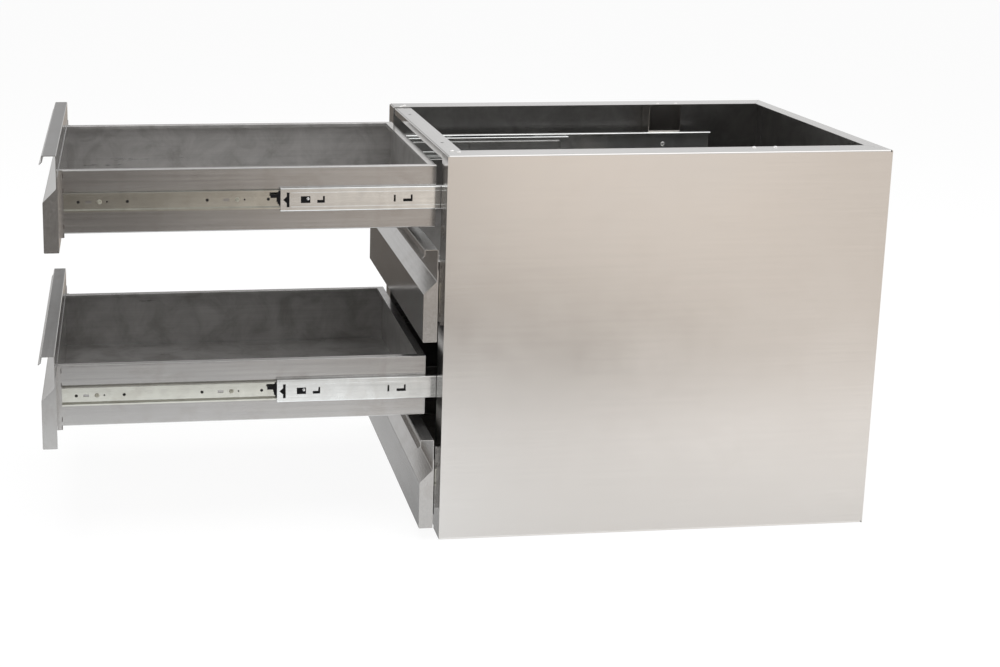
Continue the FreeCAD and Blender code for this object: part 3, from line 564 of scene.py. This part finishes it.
plastic = moulded_plastic("black_plastic", PLASTIC, PLASTIC_ROUGHNESS)
ball_steel = brushed_steel("ball_steel", BALL_STEEL, BALL_ROUGHNESS, 0)
ball_rows = row_tree("ball_rows", "balls")
strip_rows = row_tree("strip_rows", "strips")
web_ribs = rib_tree("web_ribs")
for number in DRAWERS:
    dress(f"drawer_{number}_slide_bumpers", plastic)
    dress(f"drawer_{number}_ball_cages", plastic)
    front = RUNNER_FRONT - OPENING[number] * RUNNER_SHARE
    level = FRONT_BOTTOM[number] + SLIDE_CENTRE
    rows = []
    for side, sign in (("right", 1), ("left", -1)):
        dress(f"drawer_{number}_middle_slide_{side}", zinc)
        for upward in (1, -1):
            for (depth, offset), middle in (
                    (OUTER_ROW, front + RUNNER_LENGTH - CAGE_INSET - STRIP_SIZE[1] / 2),
                    (INNER_ROW, front + CAGE_INSET + STRIP_SIZE[1] / 2)):
                spot = ((POST_FACE - depth) * sign, middle, level + offset * upward)
                rows.append((spot, (0, 0, 1)))
    body = f"drawer_{number}_runners"
    for face, depth, rise, width, height in zip(
            ("outer", "inner"), WEB_FACES, RIB_RISES, RIB_WIDTHS, RIB_HEIGHTS):
        ribs = [(((POST_FACE - depth) * sign, front + sum(RIB_ENDS) / 2, level + rise * upward),
                 (sign, 0, 0)) for sign in (1, -1) for upward in (1, -1)]
        grow(f"drawer_{number}_{face}_ribs", web_ribs, ribs, {
            "Length": RIB_ENDS[1] - RIB_ENDS[0], "Width": width, "Height": height,
            "Finish": zinc}, body)
    # Black plates behind the slots of the middle member: painted shade for the dark seen through
    # them.
    latch_places = [(front, level, 1), (front, level, -1)]
    shade_latch_plates(f"drawer_{number}_shade_latches", latch_places, plastic, body)
    pin_place, pin_rise = LATCH_PIN
    pins = [(((POST_FACE - LATCH_DEPTHS[0]) * sign, front + pin_place, level + pin_rise),
             (sign, 0, 0)) for sign in (1, -1)]
    grow(f"drawer_{number}_latch_pins", round_heads, pins, {
        "Radius": LATCH_PIN_RADIUS, "Height": LATCH_PIN_HEIGHT, "Recess": LATCH_PIN_RECESS,
        "Recess Depth": LATCH_PIN_RECESS_DEPTH, "Finish": ball_steel}, body)
    grow(f"drawer_{number}_balls", ball_rows, rows, {
        "Count": BALLS, "Pitch": BALL_PITCH, "Radius": BALL_RADIUS, "Finish": ball_steel},
        body)
    strips = grow(f"drawer_{number}_cage_strips", strip_rows, rows, {
        "Count": BALLS, "Pitch": BALL_PITCH, "Radius": COLLAR_RADIUS, "Height": COLLAR_HEIGHT,
        "Strip": STRIP_SIZE, "Finish": plastic}, body)
    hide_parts(f"drawer_{number}_ball_cages")


# Inner slide members
# The smallest channels, fixed along the sides of each drawer box with blackened screws in
# their web. Low pressed bosses beside the slots space the channel from the box.
INNER_WEB = 0.2137
INNER_START = -0.349
INNER_SCREWS = (0.0215, 0.0938, 0.2121, 0.3037, 0.4160, 0.4900)
INNER_STUDS = (0.0638, 0.2680, 0.4720)
INNER_BOSSES = (0.0527, 0.2571, 0.4610)
INNER_ZINC = (0.77, 0.765, 0.70)
# The bosses take a darker, duller copy of the inner zinc: painted shade that dims their glint.
BOSS_ZINC_SHADED = (0.50, 0.49, 0.42)
BOSS_ROUGHNESS = 0.34
DARK_SCREW = (0.045, 0.043, 0.042)
DARK_ROUGHNESS = 0.38
INNER_SCREW_RADIUS = 0.0024
INNER_SCREW_HEIGHT = 0.0007
STUD_RADIUS = 0.0014
BOSS_RADIUS = 0.0036
BOSS_HEIGHT = 0.0006
BOSS_HOLE = 0.0012
BOSS_HOLE_DEPTH = 0.00042
STUD_HOLE = 0.0007
STUD_HOLE_DEPTH = 0.0003

dark_screw = brushed_steel("dark_screw", DARK_SCREW, DARK_ROUGHNESS, 1)
inner_zinc = plated_steel("inner_zinc", INNER_ZINC, ZINC_ROUGHNESS)
shaded_boss_zinc = plated_steel("shaded_boss_zinc", BOSS_ZINC_SHADED, BOSS_ROUGHNESS)
for number in DRAWERS:
    start = INNER_START - OPENING[number]
    level = FRONT_BOTTOM[number] + SLIDE_CENTRE
    places = {"screws": [], "studs": [], "bosses": []}
    for side, sign in (("right", 1), ("left", -1)):
        dress(f"drawer_{number}_inner_slide_{side}", inner_zinc)
        for key, row in (
                ("screws", INNER_SCREWS), ("studs", INNER_STUDS), ("bosses", INNER_BOSSES)):
            places[key] += [
                ((INNER_WEB * sign, start + y, level), (sign, 0, 0)) for y in row]
    body = f"drawer_{number}"
    grow(f"{body}_slide_screws", crossed_heads, places["screws"], {
        "Radius": INNER_SCREW_RADIUS, "Height": INNER_SCREW_HEIGHT, "Recess": INNER_SCREW_RADIUS,
        "Recess Depth": INNER_SCREW_HEIGHT / 2, "Finish": dark_screw}, body)
    grow(f"{body}_slide_studs", round_heads, places["studs"], {
        "Radius": STUD_RADIUS, "Height": BOSS_HEIGHT, "Recess": STUD_HOLE,
        "Recess Depth": STUD_HOLE_DEPTH, "Finish": dark_screw}, body)
    grow(f"{body}_slide_bosses", round_heads, places["bosses"], {
        "Radius": BOSS_RADIUS, "Height": BOSS_HEIGHT, "Recess": BOSS_HOLE,
        "Recess Depth": BOSS_HOLE_DEPTH, "Finish": shaded_boss_zinc}, body)


# Drawer boxes
# Trays folded from one sheet of stainless, with a turned-in rim round three sides. Short
# weld beads join their sides to the flanges of the front's liner, darkened by the heat.
DRAWER_STEEL = (0.57, 0.56, 0.55)
DRAWER_ROUGHNESS = 0.16
DRAWER_POLISH = 0.86
DRAWER_WEAR = 0.6
BOX_SIDE = 0.2125
BOX_MIDDLE = (-0.0785, 0.065)
# The first value of the inside darkens the faces within each tray: painted shade, beyond the duller
# mill finish.
BOX_INSIDE = (0.79, 0.30, 0.72)
# Rims and tray floors that face up are brightened by this factor: painted highlight.
BOX_TOP_HIGHLIGHT = 1.35
WELD_STEEL = (0.10, 0.085, 0.08)
WELD_ROUGHNESS = 0.35
WELD_PLACE = -0.3499
WELD_RADIUS = 0.0011
WELD_HEIGHT = 0.0009
WELD_STEP = 0.0011
WELD_STARTS = (0.011, 0.024, 0.079, 0.101)
WELD_LENGTH = 6
WELD_AIM = (0.7, 0.7, 0.35)

weld_steel = brushed_steel("weld_steel", WELD_STEEL, WELD_ROUGHNESS, 2)
for number in DRAWERS:
    box_middle = (0.0, BOX_MIDDLE[0] - OPENING[number], FRONT_BOTTOM[number] + BOX_MIDDLE[1])
    dress(f"drawer_{number}_box", brushed_steel(
        f"box_steel_{number}", DRAWER_STEEL, DRAWER_ROUGHNESS, 1, DRAWER_WEAR, DRAWER_POLISH,
        box_middle, BOX_INSIDE, BOX_TOP_HIGHLIGHT))
    beads = [
        ((BOX_SIDE * sign, WELD_PLACE - OPENING[number], FRONT_BOTTOM[number] + z + i * WELD_STEP),
         (WELD_AIM[0] * sign, *WELD_AIM[1:]))
        for sign in (1, -1) for z in WELD_STARTS for i in range(WELD_LENGTH)]
    grow(f"drawer_{number}_weld_beads", round_heads, beads, {
        "Radius": WELD_RADIUS, "Height": WELD_HEIGHT, "Recess": WELD_RADIUS / 6,
        "Recess Depth": WELD_HEIGHT / 6, "Finish": weld_steel}, f"drawer_{number}")


# Drawer fronts
# A folded skin with an upright face, a slope, a finger recess and a handle lip, closed by
# two end caps and by a flat liner behind. The brushing runs across the unit.
front_steel = brushed_steel(
    "front_steel", DRAWER_STEEL, DRAWER_ROUGHNESS, 0, DRAWER_WEAR, DRAWER_POLISH)
for number in DRAWERS:
    dress(f"drawer_{number}_front", front_steel)
    dress(f"drawer_{number}_front_liner", front_steel)


# Floor
# A wide pale floor that takes the unit's faint shadow.
FLOOR_SIZE = 40.0
FLOOR_GAP = 0.0005
FLOOR_COLOUR = (0.92, 0.92, 0.92)
FLOOR_GLOW = 0.86
GLOW_STRENGTH = 1.06

half = FLOOR_SIZE / 2
floor_mesh = bpy.data.meshes.new("floor")
floor_mesh.from_pydata(
    [(x, y, -FLOOR_GAP) for x, y in ((-half, -half), (half, -half), (half, half), (-half, half))],
    [], [(0, 1, 2, 3)])
floor = bpy.data.objects.new("floor", floor_mesh)
bpy.context.scene.collection.objects.link(floor)
pale_floor = bpy.data.materials.new("pale_floor")
pale_floor.use_nodes = True
floor_tree = pale_floor.node_tree
floor_tree.nodes.remove(floor_tree.nodes["Principled BSDF"])
matt = add_node(floor_tree, "ShaderNodeBsdfDiffuse", {"Color": (*FLOOR_COLOUR, 1.0)})
glow = add_node(
    floor_tree, "ShaderNodeEmission", {"Color": (1.0, 1.0, 1.0, 1.0), "Strength": GLOW_STRENGTH})
blend = add_node(floor_tree, "ShaderNodeMixShader", {
    "Fac": FLOOR_GLOW, 1: matt.outputs["BSDF"], 2: glow.outputs["Emission"]})
floor_tree.links.new(
    blend.outputs["Shader"], floor_tree.nodes["Material Output"].inputs["Surface"])
floor_mesh.materials.append(pale_floor)
floor.visible_glossy = False
floor.visible_diffuse = False


# Studio
# What the steel mirrors: a bright sweep of floor, warm walls above it that are dim beside
# the camera, and a bright ceiling. The camera itself sees plain white.
SWEEP_EDGE = (-0.342, -0.313)
EDGE_DROP = (0.10, 0.22, 0.020)
CEILING_EDGE = (-0.12, -0.02)
SWEEP = ((-1.0, (0.95, 0.95, 0.95)), (-0.68, (0.80, 0.80, 0.795)), (-0.50, (0.55, 0.55, 0.545)),
         (-0.43, (0.74, 0.74, 0.735)), (-0.385, (1.04, 1.03, 1.02)), (-0.35, (1.04, 1.03, 1.02)),
         (-0.32, (1.0, 0.99, 0.98)))
SWEEP_LIGHT = ((-1.0, (0.80, 0.80, 0.80)), (-0.3, (0.28, 0.28, 0.28)), (-0.15, (0.35, 0.35, 0.35)),
               (-0.06, (1.12, 1.15, 1.17)), (0.14, (1.12, 1.15, 1.17)), (0.22, (0.98, 0.965, 0.95)),
               (0.4, (1.0, 0.98, 0.96)))
WALL_COLOUR = (0.82, 0.74, 0.665)
WALL_LIGHT = ((-1.0, 0.80), (-0.6, 0.56), (-0.3, 0.15), (-0.04, 0.15), (0.03, 0.27), (0.06, 0.37),
              (0.11, 0.66), (0.17, 0.66), (0.21, 0.92), (0.34, 1.0), (0.43, 0.80), (1.0, 0.86))
WALL_FOOT = ((-0.345, 0.22), (-0.295, 0.44), (-0.25, 0.93), (-0.20, 1.0))
FOOT_FADE = (0.22, 0.48)
CEILING_LIGHT = ((-1.0, 0.90), (-0.4, 0.72), (-0.19, 0.70), (-0.03, 0.31), (0.12, 0.42),
                 (0.17, 0.62), (0.22, 0.72), (0.43, 0.66), (1.0, 0.85))
CEILING_RISE = ((0.19, 1.0), (0.27, 0.62), (0.50, 0.75), (0.98, 1.9))
STUDIO_LIGHT = 1.12
AMBIENT = 0.42


def ramp(tree, value, stops):
    """A ramp through colours at places from -1 to 1, and returns its socket."""
    level = map_range(tree, value, (-1.0, 1.0), 0.0, 1.0)
    band = add_node(tree, "ShaderNodeValToRGB", {"Fac": level})
    elements = band.color_ramp.elements
    while len(elements) < len(stops):
        elements.new(0.5)
    for element, (place, colour) in zip(elements, stops):
        element.position = (place + 1) / 2
        element.color = (*colour, 1.0)
    return band.outputs["Color"]


def light_ramp(tree, value, lights):
    """A ramp through grey levels of the studio."""
    return ramp(tree, value, [(place, (light, light, light)) for place, light in lights])


def fade(tree, value, low, high):
    """A smooth step from 0 to 1 between two values."""
    step = add_node(tree, "ShaderNodeMapRange", {
        "Value": value, "From Min": low, "From Max": high}, interpolation_type="SMOOTHSTEP")
    return step.outputs["Result"]


studio = bpy.data.worlds.new("studio")
bpy.context.scene.world = studio
studio.use_nodes = True
tree = studio.node_tree
tree.nodes.clear()
place = add_node(tree, "ShaderNodeTexCoord")
way = add_node(tree, "ShaderNodeSeparateXYZ", {"Vector": place.outputs["Generated"]}).outputs
flat_x = add_node(tree, "ShaderNodeMath", {0: way["X"]}, operation="ABSOLUTE")
flat_y = add_node(tree, "ShaderNodeMath", {0: way["Y"]}, operation="ABSOLUTE")
wall_way = add_node(tree, "ShaderNodeMath", {
    0: flat_x.outputs["Value"], 1: flat_y.outputs["Value"]}, operation="MAXIMUM")
level = add_node(tree, "ShaderNodeMath", {
    0: way["Z"], 1: wall_way.outputs["Value"]}, operation="DIVIDE").outputs["Value"]
sweep = mix_colour(
    tree, 1.0, ramp(tree, level, SWEEP), ramp(tree, way["Y"], SWEEP_LIGHT), "MULTIPLY")
wall = mix_colour(tree, 1.0, light_ramp(tree, way["Y"], WALL_LIGHT), WALL_COLOUR, "MULTIPLY")
foot = mix_colour(
    tree, fade(tree, way["Y"], *FOOT_FADE), light_ramp(tree, level, WALL_FOOT), (1.0, 1.0, 1.0))
wall = mix_colour(tree, 1.0, wall, foot, "MULTIPLY")
drop_start, drop_end, edge_drop = EDGE_DROP
drop = add_node(tree, "ShaderNodeMath", {
    0: fade(tree, way["Y"], drop_start, drop_end), 1: edge_drop, 2: level},
    operation="MULTIPLY_ADD").outputs["Value"]
room = mix_colour(tree, fade(tree, drop, *SWEEP_EDGE), sweep, wall)
ceiling = mix_colour(
    tree, 1.0, light_ramp(tree, way["Y"], CEILING_LIGHT),
    light_ramp(tree, level, CEILING_RISE), "MULTIPLY")
room = mix_colour(tree, fade(tree, level, *CEILING_EDGE), room, ceiling)
mirrored = add_node(tree, "ShaderNodeBackground", {"Color": room, "Strength": STUDIO_LIGHT})
ambient = add_node(tree, "ShaderNodeBackground", {
    "Color": (1.0, 1.0, 1.0, 1.0), "Strength": AMBIENT})
backdrop = add_node(tree, "ShaderNodeBackground", {"Color": (1.0, 1.0, 1.0, 1.0)})
path = add_node(tree, "ShaderNodeLightPath").outputs
lit = add_node(tree, "ShaderNodeMixShader", {
    "Fac": path["Is Glossy Ray"], 1: ambient.outputs["Background"],
    2: mirrored.outputs["Background"]})
seen = add_node(tree, "ShaderNodeMixShader", {
    "Fac": path["Is Camera Ray"], 1: lit.outputs["Shader"], 2: backdrop.outputs["Background"]})
add_node(tree, "ShaderNodeOutputWorld", {"Surface": seen.outputs["Shader"]})

SOFTBOXES = (
    ("overhead", (0.4, -0.3, 3.2), (0.0, -0.3, 0.0), (3.0, 3.4), 85.0),
    ("side", (3.4, 2.2, 1.9), (0.0, -0.1, 0.3), (1.6, 2.2), 26.0),
)
for name, stand, target, (wide, tall), power in SOFTBOXES:
    light = bpy.data.lights.new(name, "AREA")
    light.shape = "RECTANGLE"
    light.size = wide
    light.size_y = tall
    light.energy = power
    lamp = bpy.data.objects.new(name, light)
    bpy.context.scene.collection.objects.link(lamp)
    lamp.visible_glossy = False
    aim = (Vector(target) - Vector(stand)).to_track_quat("-Z", "Y")
    lamp.matrix_world = Matrix.Translation(stand) @ aim.to_matrix().to_4x4()
bpy.context.scene.view_settings.view_transform = "Standard"


# Camera
# It stands to the right of the unit and a little above it, level with the open drawers.
CAMERA_PLACE = (2.6072, -0.8199, 1.0283)
CAMERA_YAW = math.radians(173.047)
CAMERA_PITCH = math.radians(12.469)
CAMERA_ROLL = math.radians(0.458)
CAMERA_LENS = 58.88
CAMERA_SHIFT = (0.18, -0.11)

camera_data = bpy.data.cameras.new("camera")
camera_data.sensor_fit = "HORIZONTAL"
camera_data.lens = CAMERA_LENS
camera_data.shift_x, camera_data.shift_y = CAMERA_SHIFT
camera = bpy.data.objects.new("camera", camera_data)
bpy.context.scene.collection.objects.link(camera)
camera.matrix_world = (
    Matrix.Translation(CAMERA_PLACE)
    @ Matrix.Rotation(CAMERA_YAW - math.pi / 2, 4, "Z")
    @ Matrix.Rotation(math.pi / 2 - CAMERA_PITCH, 4, "X")
    @ Matrix.Rotation(CAMERA_ROLL, 4, "Z"))
bpy.context.scene.camera = camera
